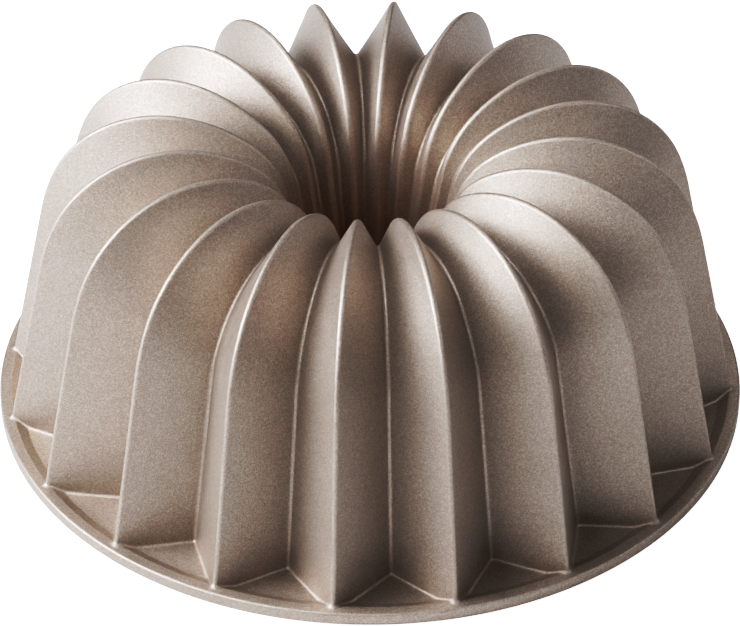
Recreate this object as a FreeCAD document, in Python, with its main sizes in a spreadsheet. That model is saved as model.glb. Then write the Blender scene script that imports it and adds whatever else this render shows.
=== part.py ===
import FreeCAD, Part
import math
import os
import Sketcher

# Fluted ring cake pan, one aluminium casting with a coat on each side, standing mouth down.
# Origin: centre of the mouth, on the plane the rim rests on. +Z: up the centre tube's axis.
# Every flute is a sharp crest between two valleys, joined by straight flanks. The crest line and the
# valley line have the same form: straight wall, two arcs up to the apex, two arcs down, straight tube.

DIMENSIONS = [
    ("flute_count", 20, "flutes round the pan"),
    ("crest_land_angle", 0.8, "degrees of the narrow land along each crest"),
    ("finish_thickness", 0.3, "outer metallic coat"),
    ("wall_thickness", 2.6, "cast aluminium"),
    ("lining_thickness", 0.3, "food-side release coat"),
    ("crest_foot_radius", 118.0, "crest line at the mouth plane"),
    ("crest_wall_draft", 12.25, "lean of the straight wall, degrees"),
    ("crest_wall_top", 60.8, "height where the straight wall ends"),
    ("crest_shoulder_radius", 40.1, "arc that ends level at the apex, wall side"),
    ("crest_apex_radius", 63.8, "distance of the apex from the axis"),
    ("crest_height", 98.0, "height of the apex"),
    ("crest_throat_radius", 44.1, "arc that leaves the apex, tube side"),
    ("crest_tube_top", 71.4, "height where the straight tube begins"),
    ("crest_tube_draft", 12.0, "lean of the tube, degrees"),
    ("crest_tube_radius", 10.9, "tube line at the mouth plane"),
    ("crest_wall_share", 1.54, "inset of the crest line per mm of depth, on the wall"),
    ("crest_tube_share", 1.11, "the same, on the tube"),
    ("valley_foot_radius", 100.4, "valley line at the mouth plane"),
    ("valley_wall_draft", 12.4, "lean of the straight wall, degrees"),
    ("valley_wall_top", 59.2, "height where the straight wall ends"),
    ("valley_shoulder_radius", 33.7, "arc that ends level at the apex, wall side"),
    ("valley_apex_radius", 55.0, "distance of the apex from the axis"),
    ("valley_height", 84.15, "height of the apex"),
    ("valley_throat_radius", 37.9, "arc that leaves the apex, tube side"),
    ("valley_tube_top", 64.6, "height where the straight tube begins"),
    ("valley_tube_draft", 12.4, "lean of the tube, degrees"),
    ("valley_tube_radius", 12.7, "tube line at the mouth plane"),
    ("valley_wall_share", 1.31, "inset of the valley line per mm of depth, on the wall"),
    ("valley_tube_share", 1.21, "the same, on the tube"),
    ("crown_share", 1.79, "inset of both lines per mm of depth, over the crown"),
    ("rim_radius", 120.0, "outer edge of the raised rim"),
    ("rim_height", 4.2, "raised rim above the mouth plane"),
    ("rim_edge_bevel", 0.6, "eased outer edge of the rim"),
    ("step_top_radius", 116.2, "inner edge of the raised rim"),
    ("step_foot_radius", 113.0, "outer edge of the sunk pockets"),
    ("pocket_height", 2.3, "floor of the sunk pockets above the mouth plane"),
    ("flange_inner_radius", 95.0, "inside the wall everywhere, so the cavity trims it"),
    ("tube_end_height", 2.0, "open end of the tube above the mouth plane"),
    ("tube_trim_radius", 24.0, "reach of the cut that ends the tube"),
    ("coat_lift", 0.3, "both coats stop this far above the mouth plane"),
    ("cutter_overrun", 1.0, "how far the cutting shapes pass below the mouth plane"),
]

WALL, SHOULDER_LOW, SHOULDER, THROAT, THROAT_LOW, TUBE, BASE = range(7)
START, END, CENTRE = 1, 2, 3
ORIGIN = -1


def make_sheet(doc):
    sheet = doc.addObject("Spreadsheet::Sheet", "Sizes")
    for row, (alias, value, meaning) in enumerate(DIMENSIONS, start=1):
        sheet.set(f"A{row}", alias)
        sheet.set(f"B{row}", str(value))
        sheet.set(f"C{row}", meaning)
        sheet.setAlias(f"B{row}", alias)
    doc.recompute()


def origin_feature(body, role):
    return next(item for item in body.Origin.OriginFeatures if item.Role == role)


def new_sketch(body, name, turn="0"):
    """Sketch on the plane through the axis, turned about the axis by an expression in degrees."""
    sketch = body.newObject("Sketcher::SketchObject", name)
    sketch.AttachmentSupport = [(origin_feature(body, "XZ_Plane"), "")]
    sketch.MapMode = "FlatFace"
    about_the_axis = FreeCAD.Rotation(FreeCAD.Vector(0, 1, 0), 1)
    sketch.AttachmentOffset = FreeCAD.Placement(FreeCAD.Vector(), about_the_axis)
    sketch.setExpression("AttachmentOffset.Rotation.Angle", f"({turn}) * 1 deg")
    return sketch


def number(sketch, expression):
    """The plain number an expression gives, in millimetres where it has a unit."""
    value = sketch.evalExpression(expression)
    return float(getattr(value, "Value", value))


def place_point(sketch, name, geometry, position, x, y):
    """Fix a point at two expressions, each a named dimension of the sketch."""
    for axis, expression in (("X", x), ("Y", y)):
        value = number(sketch, expression)
        index = sketch.addConstraint(
            Sketcher.Constraint(f"Distance{axis}", ORIGIN, START, geometry, position, value))
        sketch.renameConstraint(index, f"{name}_{axis.lower()}")
        sketch.setExpression(f"Constraints.{name}_{axis.lower()}", expression)


def set_radius(sketch, name, geometry, expression):
    index = sketch.addConstraint(Sketcher.Constraint("Radius", geometry, number(sketch, expression)))
    sketch.renameConstraint(index, name)
    sketch.setExpression(f"Constraints.{name}", expression)


def blend_arc(start, end_of_line, apex, top_radius):
    """The arc tangent to a straight line's end and to the arc under the apex.

    Returns its centre, the point where the two arcs meet and the centre of the arc under the apex.
    """
    along = (end_of_line - start).normalize()
    across = FreeCAD.Vector(-along.y, along.x, 0)
    if across.dot(apex - end_of_line) < 0:
        across = across.negative()
    centre = apex - FreeCAD.Vector(0, top_radius, 0)
    reach = end_of_line - centre
    radius = (top_radius**2 - reach.dot(reach)) / (2 * (reach.dot(across) + top_radius))
    low_centre = end_of_line + across * radius
    if radius > top_radius:
        meet = low_centre + (centre - low_centre).normalize() * radius
    else:
        meet = centre + (low_centre - centre).normalize() * top_radius
    return low_centre, meet, centre


def arc(centre, start, end):
    """The shorter arc about a centre, from start to end."""
    middle = (start - centre).normalize() + (end - centre).normalize()
    return Part.Arc(start, centre + middle.normalize() * start.distanceToPoint(centre), end)


def profile_sketch(body, name, line, depth, base, turn):
    """Closed section of the space under one skin, along a crest or a valley.

    line is crest or valley, depth the skin's depth under the outer surface, base the height of its foot.
    """
    sketch = new_sketch(body, name, turn)
    size = f"Sizes.{line}"
    foot = f"({size}_foot_radius - ({depth}) * {size}_wall_share)"
    tube = f"({size}_tube_radius + ({depth}) * {size}_tube_share)"
    drop = f"({depth}) * Sizes.crown_share"
    wall_top = f"({size}_wall_top - {drop})"
    tube_top = f"({size}_tube_top - {drop})"
    shoulder = f"({size}_shoulder_radius - ({depth}) * {size}_wall_share)"
    throat = f"({size}_throat_radius - ({depth}) * {size}_tube_share)"
    wall_lean = f"tan({size}_wall_draft * 1 deg)"
    tube_lean = f"tan({size}_tube_draft * 1 deg)"
    spots = {
        "wall_foot": (f"{foot} - ({base}) * {wall_lean}", base),
        "wall_top": (f"{foot} - {wall_top} * {wall_lean}", wall_top),
        "apex": (f"{size}_apex_radius", f"{size}_height - {drop}"),
        "tube_top": (f"{tube} + {tube_top} * {tube_lean}", tube_top),
        "tube_foot": (f"{tube} + ({base}) * {tube_lean}", base),
    }
    at = {key: FreeCAD.Vector(number(sketch, x), number(sketch, y), 0) for key, (x, y) in spots.items()}
    low, meet, centre = blend_arc(at["wall_foot"], at["wall_top"], at["apex"], number(sketch, shoulder))
    tube_low, tube_meet, tube_centre = blend_arc(
        at["tube_foot"], at["tube_top"], at["apex"], number(sketch, throat))
    sketch.addGeometry([
        Part.LineSegment(at["wall_foot"], at["wall_top"]),
        arc(low, at["wall_top"], meet),
        arc(centre, meet, at["apex"]),
        arc(tube_centre, at["apex"], tube_meet),
        arc(tube_low, tube_meet, at["tube_top"]),
        Part.LineSegment(at["tube_top"], at["tube_foot"]),
        Part.LineSegment(at["tube_foot"], at["wall_foot"]),
    ], False)
    for first, second in ((WALL, SHOULDER_LOW), (SHOULDER_LOW, SHOULDER), (SHOULDER, THROAT),
                          (THROAT, THROAT_LOW), (THROAT_LOW, TUBE)):
        sketch.addConstraint(Sketcher.Constraint("Tangent", first, END, second, START))
    for first, second in ((TUBE, BASE), (BASE, WALL)):
        sketch.addConstraint(Sketcher.Constraint("Coincident", first, END, second, START))
    sketch.addConstraint(Sketcher.Constraint("Vertical", SHOULDER, CENTRE, SHOULDER, END))
    place_point(sketch, "wall_foot", WALL, START, *spots["wall_foot"])
    place_point(sketch, "wall_top", WALL, END, *spots["wall_top"])
    place_point(sketch, "apex", SHOULDER, END, *spots["apex"])
    place_point(sketch, "tube_top", TUBE, START, *spots["tube_top"])
    place_point(sketch, "tube_foot", TUBE, END, *spots["tube_foot"])
    set_radius(sketch, "shoulder_radius", SHOULDER, shoulder)
    set_radius(sketch, "throat_radius", THROAT, throat)
    return sketch


def outline_sketch(body, name, spots):
    """Closed polygon through named points, each an x and a y expression."""
    sketch = new_sketch(body, name)
    corners = [FreeCAD.Vector(number(sketch, x), number(sketch, y), 0) for x, y in spots.values()]
    following = corners[1:] + corners[:1]
    sketch.addGeometry([Part.LineSegment(a, b) for a, b in zip(corners, following)], False)
    for index, (spot, (x, y)) in enumerate(spots.items()):
        next_index = (index + 1) % len(spots)
        sketch.addConstraint(Sketcher.Constraint("Coincident", index, END, next_index, START))
        place_point(sketch, spot, index, START, x, y)
    return sketch


def flange_sketch(body, name, depth, base):
    """Section of the flange under one skin: raised rim, sloped step and the floor of the sunk pockets."""
    rim = f"(Sizes.rim_radius - ({depth}))"
    rim_top = f"(Sizes.rim_height - ({depth}))"
    pocket = f"(Sizes.pocket_height - ({depth}))"
    bevel = "Sizes.rim_edge_bevel"
    return outline_sketch(body, name, {
        "inner_foot": ("Sizes.flange_inner_radius", base),
        "rim_foot": (rim, base),
        "rim_bevel_low": (rim, f"{rim_top} - {bevel}"),
        "rim_bevel_high": (f"{rim} - {bevel}", rim_top),
        "step_top": ("Sizes.step_top_radius", rim_top),
        "step_foot": ("Sizes.step_foot_radius", pocket),
        "inner_top": ("Sizes.flange_inner_radius", pocket),
    })


def turn(body, kind, name, sketch):
    """Revolve a section over one flute's share of the circle, half to each side."""
    feature = body.newObject(f"PartDesign::{kind}", name)
    feature.Profile = sketch
    feature.ReferenceAxis = (sketch, ["V_Axis"])
    feature.Midplane = True
    feature.setExpression("Angle", "360 / Sizes.flute_count")
    return feature


def flute_loft(body, kind, name, depth, base):
    """One flute's share of the space under a skin: valley, both edges of the crest's land, valley."""
    half_pitch = "180 / Sizes.flute_count"
    half_land = "Sizes.crest_land_angle / 2"
    stations = [("valley", f"-{half_pitch}"), ("crest", f"-{half_land}"),
                ("crest", half_land), ("valley", half_pitch)]
    sections = [profile_sketch(body, f"{name}_section_{index}", line, depth, base, angle)
                for index, (line, angle) in enumerate(stations)]
    loft = body.newObject(f"PartDesign::{kind}Loft", name)
    loft.Profile = sections[0]
    loft.Sections = sections[1:]
    loft.Ruled = True
    return loft


def tube_end(body):
    """Cut that ends the tube a little above the mouth plane, so that only the rim stands on a table."""
    sketch = outline_sketch(body, "tube_end_section", {
        "axis_low": ("0", "-Sizes.cutter_overrun"),
        "reach_low": ("Sizes.tube_trim_radius", "-Sizes.cutter_overrun"),
        "reach_high": ("Sizes.tube_trim_radius", "Sizes.tube_end_height"),
        "axis_high": ("0", "Sizes.tube_end_height"),
    })
    turn(body, "Groove", "tube_end", sketch)


def ring(body):
    """Repeat the finished flute round the axis."""
    body.Document.recompute()
    pattern = body.newObject("PartDesign::PolarPattern", "flutes")
    pattern.TransformMode = "Whole shape"
    pattern.Axis = (origin_feature(body, "Z_Axis"), [""])
    pattern.Angle = 360
    pattern.setExpression("Occurrences", "Sizes.flute_count")
    body.Tip = pattern


def new_body(doc, label):
    body = doc.addObject("PartDesign::Body", label)
    body.Label = label
    body.Placement = FreeCAD.Placement()
    return body


FINISH = "Sizes.finish_thickness"
CAST = "Sizes.finish_thickness + Sizes.wall_thickness"
FOOD_SIDE = "Sizes.finish_thickness + Sizes.wall_thickness + Sizes.lining_thickness"
THROUGH = "-Sizes.cutter_overrun"
LIFTED = "Sizes.coat_lift"


def cast_shell(doc):
    """The aluminium casting: flange, fluted wall, crown and centre tube in one."""
    body = new_body(doc, "cast_shell")
    turn(body, "Revolution", "flange", flange_sketch(body, "flange_section", FINISH, "0"))
    flute_loft(body, "Additive", "wall", FINISH, "0")
    flute_loft(body, "Subtractive", "cake_cavity", CAST, THROUGH)
    tube_end(body)
    ring(body)
    return body


def outer_finish(doc):
    """The metallic coat over the outside of the casting, down the throat and over the rim's side."""
    body = new_body(doc, "outer_finish")
    turn(body, "Revolution", "flange", flange_sketch(body, "flange_section", "0", LIFTED))
    flute_loft(body, "Additive", "wall", "0", LIFTED)
    flute_loft(body, "Subtractive", "under_coat", FINISH, THROUGH)
    turn(body, "Groove", "under_flange", flange_sketch(body, "under_flange_section", FINISH, THROUGH))
    tube_end(body)
    ring(body)
    return body


def nonstick_lining(doc):
    """The release coat over the whole cake cavity."""
    body = new_body(doc, "nonstick_lining")
    flute_loft(body, "Additive", "wall", CAST, LIFTED)
    flute_loft(body, "Subtractive", "cake_space", FOOD_SIDE, THROUGH)
    tube_end(body)
    ring(body)
    return body


def check(doc, bodies):
    for item in doc.Objects:
        if {"Invalid", "Error"} & set(item.State):
            raise RuntimeError(f"{item.Label} failed to recompute: {item.State}")
    for body in bodies:
        if body.Shape.isNull() or not body.Shape.isValid():
            raise RuntimeError(f"{body.Label} has no valid shape")
        if len(body.Shape.Solids) != 1:
            raise RuntimeError(f"{body.Label} is {len(body.Shape.Solids)} solids, not one")


def main():
    doc = FreeCAD.newDocument("fluted_ring_pan")
    make_sheet(doc)
    bodies = [cast_shell(doc), outer_finish(doc), nonstick_lining(doc)]
    doc.recompute()
    check(doc, bodies)
    os.makedirs("parts", exist_ok=True)
    for body in bodies:
        body.Shape.exportStep(f"parts/{body.Label}.step")
        print(f"{body.Label}: {body.Shape.Volume / 1000:.1f} cm3, {len(body.Shape.Faces)} faces")


main()
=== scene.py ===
import math

import bmesh
import bpy
import numpy as np
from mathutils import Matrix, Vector

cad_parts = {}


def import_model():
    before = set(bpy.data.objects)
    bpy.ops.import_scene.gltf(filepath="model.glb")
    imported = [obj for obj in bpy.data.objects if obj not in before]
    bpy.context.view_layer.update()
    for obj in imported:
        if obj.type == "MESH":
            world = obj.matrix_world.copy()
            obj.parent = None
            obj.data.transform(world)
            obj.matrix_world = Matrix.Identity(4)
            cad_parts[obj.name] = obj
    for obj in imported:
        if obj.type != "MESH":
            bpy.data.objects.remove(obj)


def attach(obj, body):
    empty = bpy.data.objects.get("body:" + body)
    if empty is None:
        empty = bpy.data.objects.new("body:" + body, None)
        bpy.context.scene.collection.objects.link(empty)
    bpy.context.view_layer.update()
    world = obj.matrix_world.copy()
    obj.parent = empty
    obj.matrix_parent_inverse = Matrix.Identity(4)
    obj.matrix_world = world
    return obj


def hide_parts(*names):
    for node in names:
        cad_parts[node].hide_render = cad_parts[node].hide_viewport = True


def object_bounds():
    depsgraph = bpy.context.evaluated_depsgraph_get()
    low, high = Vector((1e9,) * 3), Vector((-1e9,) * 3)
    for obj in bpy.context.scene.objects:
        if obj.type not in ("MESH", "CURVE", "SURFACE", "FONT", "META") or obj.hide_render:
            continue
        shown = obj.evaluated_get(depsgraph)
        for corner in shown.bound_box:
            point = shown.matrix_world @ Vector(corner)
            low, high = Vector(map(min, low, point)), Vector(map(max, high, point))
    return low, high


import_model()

# A fluted ring cake pan, standing mouth down. Lengths are millimetres until a mesh is made.
# The pan is three closed pieces: the casting, the bronze coat over it and the release coat in the cavity.
# Every flute is a rounded crest between two rounded valleys. The mesh is one half flute, from its crest
# plane to its valley plane, mirrored and repeated round the axis.

MM = 0.001
CAD_LOW, CAD_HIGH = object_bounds()
RIM_RADIUS = CAD_HIGH.x / MM
CREST_HEIGHT = CAD_HIGH.z / MM

FLUTES = 20
HALF_PITCH = math.pi / FLUTES
COAT = 0.3
WALL = 2.6
FOOD_SIDE_DEPTH = COAT + WALL + COAT
COAT_LIFT = 0.3
TUBE_END = 2.0
CROWN_SHARE = 1.79

CREST = {
    "foot": 118.0, "wall_draft": 12.25, "wall_top": 60.8, "shoulder": 40.1,
    "apex": 63.8, "height": CREST_HEIGHT, "throat": 44.1,
    "tube_top": 71.4, "tube_draft": 12.0, "tube": 10.9, "wall_share": 1.54, "tube_share": 1.11,
}
VALLEY = {
    "foot": 100.4, "wall_draft": 12.4, "wall_top": 59.2, "shoulder": 33.7,
    "apex": 55.0, "height": 84.15, "throat": 37.9,
    "tube_top": 64.6, "tube_draft": 12.4, "tube": 12.7, "wall_share": 1.31, "tube_share": 1.21,
}

RIM_HEIGHT = 4.2
STEP_TOP = 116.2
STEP_FOOT = 113.0
POCKET_HEIGHT = 2.3
STEP_EASE = 0.3
RIM_EDGE = 0.7
RIM_LOW_EDGE = 0.45
RIM_FLAT = 0.35
FOOT_FILLET = 1.0
FOOT_NUB = 0.7
FOOT_NUB_WIDTH = 1.6
STEP_CIRCLES = [STEP_FOOT - STEP_EASE, STEP_FOOT, STEP_FOOT + STEP_EASE,
                STEP_TOP - STEP_EASE, STEP_TOP, STEP_TOP + STEP_EASE]

# Rounding radii, each at the foot and in the throat.
CREST_ROUNDS = (0.95, 1.4)
VALLEY_ROUNDS = (1.1, 0.6)
INNER_CREST_ROUNDS = (1.0, 1.0)
INNER_VALLEY_ROUNDS = (1.6, 0.8)

# Mesh rows go up the profile, columns go across half a flute.
CREST_STEPS = 4
VALLEY_STEPS = 3
WALL_ROWS = 8
LOW_ARC_ROWS = 6
CROWN_ROWS = 13
TUBE_ROWS = 7
FILLET_ROWS = 5
POCKET_SHARES = (0.35, 0.7)
RIM_EDGE_STEPS = 4
RIM_LOW_EDGE_STEPS = 3
FLANK_SPREAD = [0.015, 0.06, 0.4, 0.55, 0.7, 0.85, 0.97]
HIDDEN_STEP = 3
SHARP_ANGLE = math.radians(40)


# ---------------------------------------------------------------- crest and valley lines

def unit(vectors):
    return vectors / np.linalg.norm(vectors, axis=-1, keepdims=True)


def blend_arc(line_foot, line_top, apex, top_radius):
    """The arc between a straight line's top and the arc under the apex: its centre and where they meet."""
    along = unit(line_top - line_foot)
    across = np.array([-along[1], along[0]])
    if across @ (apex - line_top) < 0:
        across = -across
    centre = apex - (0, top_radius)
    reach = line_top - centre
    radius = (top_radius**2 - reach @ reach) / (2 * (reach @ across + top_radius))
    low_centre = line_top + across * radius
    if radius > top_radius:
        return low_centre, low_centre + unit(centre - low_centre) * radius
    return low_centre, centre + unit(low_centre - centre) * top_radius


def arc_points(centre, start, end, rows):
    """Points along the shorter arc from start to end, start left out."""
    radius = np.linalg.norm(start - centre)
    first = math.atan2(*(start - centre)[::-1])
    sweep = math.atan2(*(end - centre)[::-1]) - first
    sweep = (sweep + math.pi) % (2 * math.pi) - math.pi
    angles = first + sweep * np.arange(1, rows + 1) / rows
    return centre + radius * np.stack([np.cos(angles), np.sin(angles)], axis=1)


def line_points(start, end, rows):
    """Points along a straight line, start left out."""
    share = (np.arange(1, rows + 1) / rows)[:, None]
    return start + (end - start) * share


def profile(line, depth):
    """Radius and height along a crest or valley, from the mouth plane over the crown to the tube's end."""
    drop = depth * CROWN_SHARE
    wall_lean = math.tan(math.radians(line["wall_draft"]))
    tube_lean = math.tan(math.radians(line["tube_draft"]))
    wall = line["foot"] - depth * line["wall_share"]
    tube = line["tube"] + depth * line["tube_share"]
    wall_top, tube_top = line["wall_top"] - drop, line["tube_top"] - drop
    foot = np.array([wall, 0.0])
    shoulder_start = np.array([wall - wall_top * wall_lean, wall_top])
    apex = np.array([line["apex"], line["height"] - drop])
    throat_end = np.array([tube + tube_top * tube_lean, tube_top])
    tube_end = np.array([tube + TUBE_END * tube_lean, TUBE_END])
    shoulder = line["shoulder"] - depth * line["wall_share"]
    throat = line["throat"] - depth * line["tube_share"]
    low, meet = blend_arc(foot, shoulder_start, apex, shoulder)
    tube_low, tube_meet = blend_arc(tube_end, throat_end, apex, throat)
    return np.concatenate([
        [foot, shoulder_start],
        arc_points(low, shoulder_start, meet, LOW_ARC_ROWS),
        arc_points(apex - (0, shoulder), meet, apex, CROWN_ROWS),
        arc_points(apex - (0, throat), apex, tube_meet, CROWN_ROWS),
        arc_points(tube_low, tube_meet, throat_end, LOW_ARC_ROWS),
        line_points(throat_end, tube_end, TUBE_ROWS),
    ])


# ---------------------------------------------------------------- half a flute

def at_azimuth(points, azimuth):
    radius, height = points.T
    return np.stack([radius * math.cos(azimuth), radius * math.sin(azimuth), height], axis=1)


def corner_frame(corner, far, normal):
    """For a corner line in a mirror plane: the way into it, and the cosine and sine of its half angle."""
    way = unit(far - corner)
    inward = unit(way - (way @ normal)[:, None] * normal)
    cosine = np.sum(way * inward, axis=1, keepdims=True)
    return inward, cosine, np.sqrt(1 - cosine**2)


def sharp_corners(crest, valley, crest_round, valley_round, crest_plane, valley_plane):
    """The sharp corner lines whose rounded forms pass through the crest and valley lines."""
    sharp_crest, sharp_valley = crest, valley
    for _ in range(3):
        inward, _, sine = corner_frame(sharp_crest, sharp_valley, crest_plane)
        outward, _, valley_sine = corner_frame(sharp_valley, sharp_crest, valley_plane)
        sharp_crest = crest - inward * crest_round * (1 / sine - 1)
        sharp_valley = valley - outward * valley_round * (1 / valley_sine - 1)
    return sharp_crest, sharp_valley


def corner_arc(corner, far, normal, radius, steps):
    """Half of a rounded corner, from the mirror plane to where it meets the flank."""
    inward, cosine, sine = corner_frame(corner, far, normal)
    side = normal * np.sign(np.sum((far - corner) * normal, axis=1, keepdims=True))
    centre = corner + inward * radius / sine
    turn = np.pi / 2 - np.arctan2(sine, cosine)
    points = []
    for step in range(steps + 1):
        angle = turn * step / steps
        points.append(centre + radius * (side * np.sin(angle) - inward * np.cos(angle)))
    return points


def half_flute(depth, crest_radii, valley_radii, flank_shares):
    """Rows of points over half a flute. Columns run from the crest plane to the valley plane."""
    crest = at_azimuth(profile(CREST, depth), 0.0)
    valley = at_azimuth(profile(VALLEY, depth), HALF_PITCH)
    crest_plane = np.array([0.0, 1.0, 0.0])
    valley_plane = np.array([-math.sin(HALF_PITCH), math.cos(HALF_PITCH), 0.0])
    along = np.linspace(0, 1, len(crest))[:, None]
    crest_round = crest_radii[0] + (crest_radii[1] - crest_radii[0]) * along
    valley_round = valley_radii[0] + (valley_radii[1] - valley_radii[0]) * along
    sharp_crest, sharp_valley = sharp_corners(
        crest, valley, crest_round, valley_round, crest_plane, valley_plane)
    crest_part = corner_arc(sharp_crest, sharp_valley, crest_plane, crest_round, CREST_STEPS)
    valley_part = corner_arc(sharp_valley, sharp_crest, valley_plane, valley_round, VALLEY_STEPS)
    start, end = crest_part[-1], valley_part[-1]
    flank = [start + (end - start) * share for share in flank_shares]
    return np.stack(crest_part + flank + valley_part[::-1], axis=1)


# ---------------------------------------------------------------- flange and foot

def eased(radius, corner, slope):
    """How far a corner of the section, eased over a short way, has risen at a radius."""
    way = np.clip((radius - corner + STEP_EASE) / (2 * STEP_EASE), 0, 1)
    past = np.clip(radius - corner - STEP_EASE, 0, None)
    return slope * (STEP_EASE * way**2 + past)


def flange_height(radius):
    """Height of the flange's upper face: sunk pocket, sloped step, raised rim."""
    slope = (RIM_HEIGHT - POCKET_HEIGHT) / (STEP_TOP - STEP_FOOT)
    return POCKET_HEIGHT + eased(radius, STEP_FOOT, slope) - eased(radius, STEP_TOP, slope)


def plan_radius(points):
    return np.hypot(points[..., 0], points[..., 1])


def on_flange(points):
    lifted = points.copy()
    lifted[..., 2] = flange_height(plan_radius(points))
    return lifted


def circle_row(radius, azimuth, height):
    """One point a column, at the column's azimuth. Radius may differ from column to column."""
    return np.stack([radius * np.cos(azimuth), radius * np.sin(azimuth),
                     np.full(len(azimuth), height)], axis=1)


def wall_foot(low, high):
    """Where straight wall columns from low to high meet the flange."""
    share = np.zeros(len(low))
    for _ in range(12):
        points = low + (high - low) * share[:, None]
        share = (flange_height(plan_radius(points)) - low[:, 2]) / (high - low)[:, 2]
    return low + (high - low) * share[:, None]


def foot_rows(low, high):
    """The foot of the wall: a fillet onto the flange, widest at the crest, given from the wall outwards."""
    foot = wall_foot(low, high)
    along = np.gradient(foot[:, :2], axis=0)
    outward = unit(np.stack([along[:, 1], -along[:, 0], np.zeros(len(along))], axis=1))
    outward[0] = (1, 0, 0)
    outward[-1] = (math.cos(HALF_PITCH), math.sin(HALF_PITCH), 0)
    from_crest = np.abs(foot[:, 1:2])
    reach = FOOT_FILLET + FOOT_NUB * np.exp(-(from_crest / FOOT_NUB_WIDTH)**2)
    top = foot + unit(high - foot) * reach
    end = on_flange(foot + outward * reach)
    rows = []
    for step in range(FILLET_ROWS + 1):
        way = step / FILLET_ROWS
        rows.append((1 - way)**2 * top + 2 * way * (1 - way) * foot + way**2 * end)
    return rows


def flange_rows(start, circles):
    """From the fillet's end outwards: a column keeps its azimuth, and waits where it is past a circle."""
    radius = plan_radius(start)
    azimuth = np.arctan2(start[:, 1], start[:, 0])
    reaches = [np.maximum(radius, radius + (circles[0] - radius) * share) for share in POCKET_SHARES]
    reaches += [np.maximum(radius, circle) for circle in circles]
    return [on_flange(circle_row(reach, azimuth, 0.0)) for reach in reaches], azimuth


def rim_rows(azimuth, low):
    """Round the rim's upper outer edge, down its side and in at its lower edge."""
    sections = []
    for step in range(RIM_EDGE_STEPS + 1):
        angle = math.pi / 2 * step / RIM_EDGE_STEPS
        sections.append((RIM_RADIUS - RIM_EDGE + RIM_EDGE * math.sin(angle),
                         RIM_HEIGHT - RIM_EDGE + RIM_EDGE * math.cos(angle)))
    sections.append((RIM_RADIUS, low + RIM_LOW_EDGE))
    for step in range(1, RIM_LOW_EDGE_STEPS + 1):
        angle = math.pi / 2 * step / (RIM_LOW_EDGE_STEPS + 1)
        sections.append((RIM_RADIUS - RIM_LOW_EDGE + RIM_LOW_EDGE * math.cos(angle),
                         low + RIM_LOW_EDGE - RIM_LOW_EDGE * math.sin(angle)))
    sections.append((RIM_RADIUS - RIM_LOW_EDGE, low))
    return [circle_row(radius, azimuth, height) for radius, height in sections]


def flank_shares_for(circles):
    """Shares along the flank for its columns: spread out, and one where the foot crosses each circle."""
    trial = np.linspace(0, 1, 400)[1:-1]
    half = half_flute(0.0, CREST_ROUNDS, VALLEY_ROUNDS, trial)
    ends = foot_rows(half[0], half[1])[-1]
    radius = plan_radius(ends)[CREST_STEPS + 1:-VALLEY_STEPS - 1]
    crossings = [float(np.interp(-circle, -radius, trial)) for circle in circles]
    inside = [share for share in crossings if 0.02 < share < 0.98]
    return sorted(FLANK_SPREAD + inside)


def outer_half(shares):
    """The outer surface of half a flute, from the rim's lower edge over the crown to the tube's end."""
    half = half_flute(0.0, CREST_ROUNDS, VALLEY_ROUNDS, shares)
    foot = foot_rows(half[0], half[1])
    flange, azimuth = flange_rows(foot[-1], STEP_CIRCLES + [RIM_RADIUS - RIM_EDGE - RIM_FLAT])
    rim = rim_rows(azimuth, COAT_LIFT)
    wall = [foot[0] + (half[1] - foot[0]) * row / WALL_ROWS for row in range(1, WALL_ROWS)]
    return np.concatenate([np.stack(rim[::-1] + flange[::-1] + foot[::-1] + wall), half[1:]])


def inner_half(shares):
    """The cavity's surface of half a flute, from the mouth over the crown to the tube's end."""
    half = half_flute(FOOD_SIDE_DEPTH, INNER_CREST_ROUNDS, INNER_VALLEY_ROUNDS, shares)
    low = half[0] + (half[1] - half[0]) * (COAT_LIFT / half[1][:, 2])[:, None]
    wall = [low + (half[1] - low) * row / WALL_ROWS for row in range(WALL_ROWS)]
    return np.concatenate([np.stack(wall), half[1:]])


# ---------------------------------------------------------------- the ring, skins and pieces

def ring(half):
    """Mirror half a flute about its crest plane and repeat the flute round the axis."""
    mirrored = half[:, ::-1] * (1, -1, 1)
    flute = np.concatenate([mirrored[:, :-1], half[:, :-1]], axis=1)
    turns = []
    for index in range(FLUTES):
        angle = 2 * HALF_PITCH * index
        cosine, sine = math.cos(angle), math.sin(angle)
        turns.append(flute @ np.array([[cosine, sine, 0], [-sine, cosine, 0], [0, 0, 1]]))
    return np.concatenate(turns, axis=1)


def weld(grids, closed):
    """Points, faces and row index of one mesh from grids that follow on.

    closed joins the last row to the first.
    """
    rows = np.concatenate(grids)
    count, columns, _ = rows.shape
    keys = np.round(rows.reshape(-1, 3), 5)
    _, first, index = np.unique(keys, axis=0, return_index=True, return_inverse=True)
    points = rows.reshape(-1, 3)[first]
    index = index.reshape(count, columns)
    below = index if closed else index[:-1]
    above = np.roll(index, -1, axis=0) if closed else index[1:]
    quads = np.stack([below, np.roll(below, -1, axis=1), np.roll(above, -1, axis=1), above], axis=-1)
    faces = []
    for quad in quads.reshape(-1, 4).tolist():
        corners = [corner for place, corner in enumerate(quad) if corner != quad[place - 1]]
        if len(set(corners)) == len(corners) > 2:
            faces.append(corners)
    return points, faces, index


def point_normals(points, faces):
    """Area-weighted normals of an open skin."""
    normals = np.zeros_like(points)
    for corners in (3, 4):
        batch = np.array([face for face in faces if len(face) == corners])
        if len(batch):
            a, b, c = points[batch[:, 0]], points[batch[:, 1]], points[batch[:, 2]]
            last = points[batch[:, -1]]
            area = np.cross(b - a, c - a) + (np.cross(c - a, last - a) if corners == 4 else 0)
            for place in range(corners):
                np.add.at(normals, batch[:, place], area)
    return unit(normals)


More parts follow.
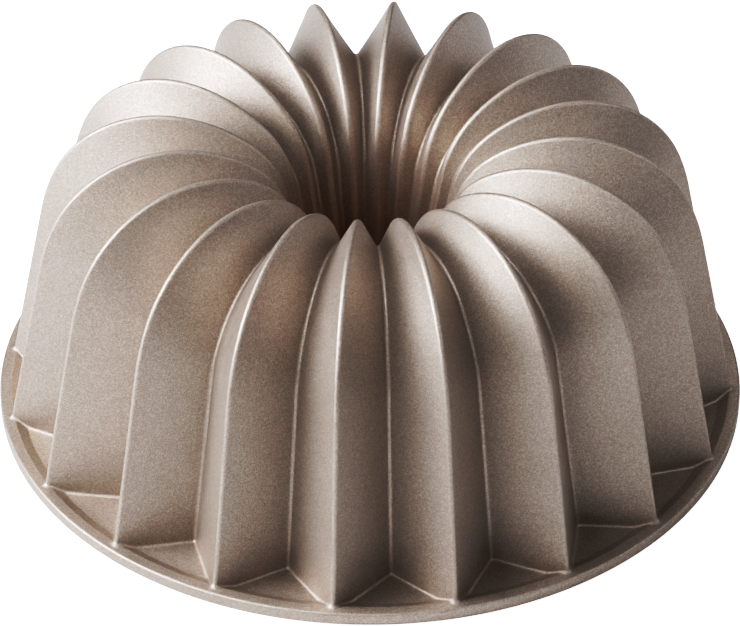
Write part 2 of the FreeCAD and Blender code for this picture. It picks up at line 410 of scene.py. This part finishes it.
def offset(grid, distance):
    """The grid moved along its normals, with both end rows kept at their heights."""
    points, faces, index = weld([grid], closed=False)
    moved = (points + point_normals(points, faces) * distance)[index]
    for end in (0, -1):
        moved[end][:, 2] = grid[end][:, 2]
    return moved


def thinned(grid):
    """Every third row of a grid that nobody sees, and always its last row."""
    rows = grid[::HIDDEN_STEP]
    if (len(grid) - 1) % HIDDEN_STEP:
        rows = np.concatenate([rows, grid[-1:]])
    return rows


def flat_row(row, height):
    moved = row.copy()
    moved[..., 2] = height
    return moved


def closed_piece(name, grids, materials, node):
    """A closed mesh from grids, smooth but for its sharp edges, that stands for a CAD node."""
    points, faces, _ = weld(grids, closed=True)
    mesh = bpy.data.meshes.new(name)
    mesh.from_pydata((points * MM).tolist(), [], faces)
    mesh.validate()
    for material in materials:
        mesh.materials.append(material)
    mesh.polygons.foreach_set("use_smooth", [True] * len(mesh.polygons))
    made = bpy.data.objects.new(name, mesh)
    bpy.context.scene.collection.objects.link(made)
    work = bmesh.new()
    work.from_mesh(mesh)
    bmesh.ops.recalc_face_normals(work, faces=work.faces)
    for edge in work.edges:
        if len(edge.link_faces) == 2 and edge.calc_face_angle(0) > SHARP_ANGLE:
            edge.smooth = False
    work.to_mesh(mesh)
    work.free()
    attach(made, "root")
    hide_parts(node)
    return made


def coat_piece(name, face, back, material, node):
    """A coat: its visible face, and its hidden back with fewer rows."""
    return closed_piece(name, [face, thinned(back[::-1])], [material], node)


def finish_ends(casting):
    """The coat's colour on the faces that no coat piece covers: under the rim and at the tube's end."""
    for polygon in casting.data.polygons:
        height = polygon.center.z / MM
        if height < 0.4 or abs(height - TUBE_END) < 0.01:
            polygon.material_index = 1


# ---------------------------------------------------------------- materials

GRAIN_SCALE = 3300
CLOUD_SCALE, CLOUD_DETAIL = 1500, 3
MOTTLE_SCALE, MOTTLE_DETAIL = 45, 2
GRAIN_SHARE, CLOUD_SHARE, MOTTLE_SHARE = 0.5, 0.35, 0.15
DARK_BELOW, LIGHT_ABOVE, SPARKLE_ABOVE = 0.22, 0.70, 0.82
ROUGHNESS_SPREAD = 0.06
BUMP_STRENGTH = 1.0
BUMP_DISTANCE = 0.00016
COAT_METALLIC = 0.95
# Painted shade in the throat: a darker, redder multiplier on the coat's colour near the tube, standing in
# for light reflected many times between the flutes.
THROAT_PAINTED_SHADE = (1.0, 0.75, 0.60)
PAINTED_SHADE_RADIUS = (15.0, 29.0)


def new_material(name):
    material = bpy.data.materials.new(name)
    material.use_nodes = True
    nodes = material.node_tree.nodes
    return material, nodes, material.node_tree.links, nodes["Principled BSDF"]


def math_node(nodes, links, operation, first, second):
    node = nodes.new("ShaderNodeMath")
    node.operation = operation
    for socket, value in zip(node.inputs, (first, second)):
        if isinstance(value, (int, float)):
            socket.default_value = value
        else:
            links.new(value, socket)
    return node.outputs[0]


def noise(nodes, links, place, scale, detail):
    node = nodes.new("ShaderNodeTexNoise")
    node.inputs["Scale"].default_value = scale
    node.inputs["Detail"].default_value = detail
    links.new(place, node.inputs["Vector"])
    return node.outputs["Fac"]


def colour_socket(sockets, name):
    return next(socket for socket in sockets if socket.name == name and socket.type == "RGBA")


def paint_throat_shade(nodes, links, place, colour, shade_colour):
    """Painted shade: the coat's colour is made darker and redder towards the tube, standing in for light
    reflected many times between the flutes.
    """
    plan = nodes.new("ShaderNodeVectorMath")
    plan.operation = "MULTIPLY"
    plan.inputs[1].default_value = (1, 1, 0)
    links.new(place, plan.inputs[0])
    radius = nodes.new("ShaderNodeVectorMath")
    radius.operation = "LENGTH"
    links.new(plan.outputs["Vector"], radius.inputs[0])
    share = nodes.new("ShaderNodeMapRange")
    share.inputs["From Min"].default_value = PAINTED_SHADE_RADIUS[0] * MM
    share.inputs["From Max"].default_value = PAINTED_SHADE_RADIUS[1] * MM
    share.inputs["To Min"].default_value = 1
    share.inputs["To Max"].default_value = 0
    links.new(radius.outputs["Value"], share.inputs["Value"])
    mix = nodes.new("ShaderNodeMix")
    mix.data_type = "RGBA"
    mix.blend_type = "MULTIPLY"
    links.new(share.outputs["Result"], mix.inputs["Factor"])
    links.new(colour, colour_socket(mix.inputs, "A"))
    colour_socket(mix.inputs, "B").default_value = (*shade_colour, 1)
    return colour_socket(mix.outputs, "Result")


def flake_coat(name, dark, light, sparkle, roughness, throat_painted_shade=None):
    """Satin coat with fine metal flake: each grain has its own shade, gloss and tilt."""
    material, nodes, links, shader = new_material(name)
    place = nodes.new("ShaderNodeTexCoord").outputs["Object"]
    grain = nodes.new("ShaderNodeTexVoronoi")
    grain.inputs["Scale"].default_value = GRAIN_SCALE
    links.new(place, grain.inputs["Vector"])
    shade = nodes.new("ShaderNodeSeparateColor")
    links.new(grain.outputs["Color"], shade.inputs["Color"])
    cloud = noise(nodes, links, place, CLOUD_SCALE, CLOUD_DETAIL)
    mottle = noise(nodes, links, place, MOTTLE_SCALE, MOTTLE_DETAIL)
    grains = math_node(nodes, links, "MULTIPLY", shade.outputs["Red"], GRAIN_SHARE)
    clouds = math_node(nodes, links, "MULTIPLY", cloud, CLOUD_SHARE)
    patches = math_node(nodes, links, "MULTIPLY", mottle, MOTTLE_SHARE)
    height = math_node(nodes, links, "ADD", grains, clouds)
    tone = math_node(nodes, links, "ADD", height, patches)
    ramp = nodes.new("ShaderNodeValToRGB")
    ramp.color_ramp.elements[0].position = DARK_BELOW
    ramp.color_ramp.elements[0].color = (*dark, 1)
    ramp.color_ramp.elements[1].position = LIGHT_ABOVE
    ramp.color_ramp.elements[1].color = (*light, 1)
    ramp.color_ramp.elements.new(SPARKLE_ABOVE).color = (*sparkle, 1)
    links.new(tone, ramp.inputs["Fac"])
    colour = ramp.outputs["Color"]
    # Painted shade: darker and redder towards the tube.
    if throat_painted_shade:
        colour = paint_throat_shade(nodes, links, place, colour, throat_painted_shade)
    links.new(colour, shader.inputs["Base Color"])
    gloss = nodes.new("ShaderNodeMapRange")
    gloss.inputs["To Min"].default_value = roughness - ROUGHNESS_SPREAD
    gloss.inputs["To Max"].default_value = roughness + ROUGHNESS_SPREAD
    links.new(shade.outputs["Green"], gloss.inputs["Value"])
    links.new(gloss.outputs["Result"], shader.inputs["Roughness"])
    bump = nodes.new("ShaderNodeBump")
    bump.inputs["Strength"].default_value = BUMP_STRENGTH
    bump.inputs["Distance"].default_value = BUMP_DISTANCE
    links.new(height, bump.inputs["Height"])
    links.new(bump.outputs["Normal"], shader.inputs["Normal"])
    shader.inputs["Metallic"].default_value = COAT_METALLIC
    return material


# ---------------------------------------------------------------- stage, light and camera

FLOOR_HALF = 6.0
FLOOR_COLOUR = (0.85, 0.85, 0.85, 1)
SEEN_WHITE = 1.1
WORLD_LIGHT = 0.02
WORLD_COLOUR = (1.0, 0.98, 0.96, 1)
LIGHT_HEIGHT = 0.05
LIGHT_DISTANCE = 1.4
CAMERA_AZIMUTH = 5.39
CAMERA_REACH = 0.8354
CAMERA_HEIGHT = 0.6469
CAMERA_LENS = 157.54
AIM_HEIGHT = 0.0265
TONE_CURVE = [(0.05, 0.018), (0.12, 0.067), (0.24, 0.265), (0.42, 0.55), (0.64, 0.74)]
TONE_WHITE = 0.91


def camera_mix(tree, output, lit, seen):
    """Show one shader to the camera and use the other for every ray that lights the pan."""
    path = tree.nodes.new("ShaderNodeLightPath")
    mix = tree.nodes.new("ShaderNodeMixShader")
    tree.links.new(path.outputs["Is Camera Ray"], mix.inputs["Fac"])
    tree.links.new(lit, mix.inputs[1])
    tree.links.new(seen, mix.inputs[2])
    tree.links.new(mix.outputs["Shader"], tree.nodes[output].inputs["Surface"])


def floor():
    """A pale floor, which the camera sees as white."""
    mesh = bpy.data.meshes.new("floor")
    corners = [(-1, -1), (1, -1), (1, 1), (-1, 1)]
    mesh.from_pydata([(x * FLOOR_HALF, y * FLOOR_HALF, 0) for x, y in corners], [], [(0, 1, 2, 3)])
    made = bpy.data.objects.new("floor", mesh)
    bpy.context.scene.collection.objects.link(made)
    material, nodes, _, shader = new_material("pale_floor")
    shader.inputs["Base Color"].default_value = FLOOR_COLOUR
    shader.inputs["Roughness"].default_value = 1.0
    shader.inputs["Emission Color"].default_value = (1, 1, 1, 1)
    shader.inputs["Emission Strength"].default_value = SEEN_WHITE
    bounce = nodes.new("ShaderNodeBsdfDiffuse")
    bounce.inputs["Color"].default_value = FLOOR_COLOUR
    camera_mix(material.node_tree, "Material Output", bounce.outputs["BSDF"], shader.outputs["BSDF"])
    mesh.materials.append(material)


def world():
    """Weak even light for the pan, and the floor's own white for the camera, so no horizon shows."""
    made = bpy.data.worlds.new("studio")
    made.use_nodes = True
    light = made.node_tree.nodes["Background"]
    light.inputs["Color"].default_value = WORLD_COLOUR
    light.inputs["Strength"].default_value = WORLD_LIGHT
    backdrop = made.node_tree.nodes.new("ShaderNodeBackground")
    backdrop.inputs["Color"].default_value = (1, 1, 1, 1)
    backdrop.inputs["Strength"].default_value = SEEN_WHITE
    camera_mix(made.node_tree, "World Output", light.outputs["Background"], backdrop.outputs["Background"])
    bpy.context.scene.world = made


def soft_box(name, azimuth, elevation, size, radiance, colour):
    """A square soft light that faces the pan. Azimuth 0 is in front, 90 on the right."""
    azimuth, elevation = math.radians(azimuth), math.radians(elevation)
    towards = Vector((math.sin(azimuth) * math.cos(elevation),
                      -math.cos(azimuth) * math.cos(elevation), math.sin(elevation)))
    data = bpy.data.lights.new(name, "AREA")
    data.shape = "SQUARE"
    data.size = size
    data.energy = math.pi * size**2 * radiance
    data.color = colour
    made = bpy.data.objects.new(name, data)
    made.location = Vector((0, 0, LIGHT_HEIGHT)) + towards * LIGHT_DISTANCE
    made.rotation_euler = (-towards).to_track_quat("-Z", "Y").to_euler()
    bpy.context.scene.collection.objects.link(made)


def camera():
    azimuth = math.radians(CAMERA_AZIMUTH)
    data = bpy.data.cameras.new("camera")
    data.sensor_width = 36
    data.lens = CAMERA_LENS
    data.clip_start, data.clip_end = 0.01, 20
    made = bpy.data.objects.new("camera", data)
    made.location = (CAMERA_REACH * math.sin(azimuth), -CAMERA_REACH * math.cos(azimuth), CAMERA_HEIGHT)
    aim = Vector((0, 0, AIM_HEIGHT))
    made.rotation_euler = (aim - made.location).to_track_quat("-Z", "Y").to_euler()
    bpy.context.scene.collection.objects.link(made)
    bpy.context.scene.camera = made


def tone_curve():
    """More contrast in the darks and mids, and a soft white."""
    view = bpy.context.scene.view_settings
    view.view_transform = "Standard"
    view.use_curve_mapping = True
    tone = view.curve_mapping.curves[3]
    for light, shown in TONE_CURVE:
        tone.points.new(light, shown)
    tone.points[len(tone.points) - 1].location = (1.0, TONE_WHITE)
    view.curve_mapping.update()


# ---------------------------------------------------------------- build

# The bronze coat carries the painted shade in the throat.
bronze = flake_coat("bronze_flake_coat", (0.374, 0.310, 0.259), (0.491, 0.427, 0.372),
                    (0.565, 0.495, 0.438), 0.53, THROAT_PAINTED_SHADE)
release = flake_coat("release_coat", (0.22, 0.165, 0.130), (0.34, 0.270, 0.220), (0.46, 0.39, 0.33), 0.50)
raw_metal = flake_coat("cast_aluminium", (0.45, 0.43, 0.41), (0.62, 0.60, 0.57), (0.8, 0.78, 0.75), 0.5)

shares = flank_shares_for(STEP_CIRCLES)
outer = ring(outer_half(shares))
inner = ring(inner_half(shares))
outer_under = offset(outer, -COAT)
inner_back = offset(inner, COAT)

coat_piece("bronze_coat", outer, outer_under, bronze, "outer_finish")
coat_piece("cavity_coat", inner, inner_back, release, "nonstick_lining")
casting = closed_piece("pan_casting", [flat_row(outer_under[:1], 0.0), thinned(outer_under),
                                       thinned(inner_back[::-1]), flat_row(inner_back[:1], 0.0)],
                       [raw_metal, bronze], "cast_shell")
finish_ends(casting)

floor()
world()
soft_box("key", -79, 31, 0.60, 11.3, (0.94, 1.00, 1.11))
soft_box("key_wide", -74, 38, 1.15, 3.3, (0.94, 1.00, 1.09))
soft_box("left_low", -75, 8, 0.50, 2.0, (0.90, 1.00, 1.15))
soft_box("left_high", -95, 68, 0.55, 5.6, (0.93, 1.00, 1.10))
soft_box("front_left", -28, 28, 0.55, 2.3, (1.00, 1.00, 0.98))
soft_box("front_high", 35, 42, 0.95, 0.95, (0.98, 1.00, 1.05))
soft_box("right_high", 85, 42, 0.80, 1.15, (0.96, 1.00, 1.09))
soft_box("right_low", 122, 12, 0.80, 0.95, (0.92, 1.00, 1.12))
soft_box("back_fill", -175, 42, 1.15, 0.80, (1.00, 1.00, 1.03))
camera()
tone_curve()
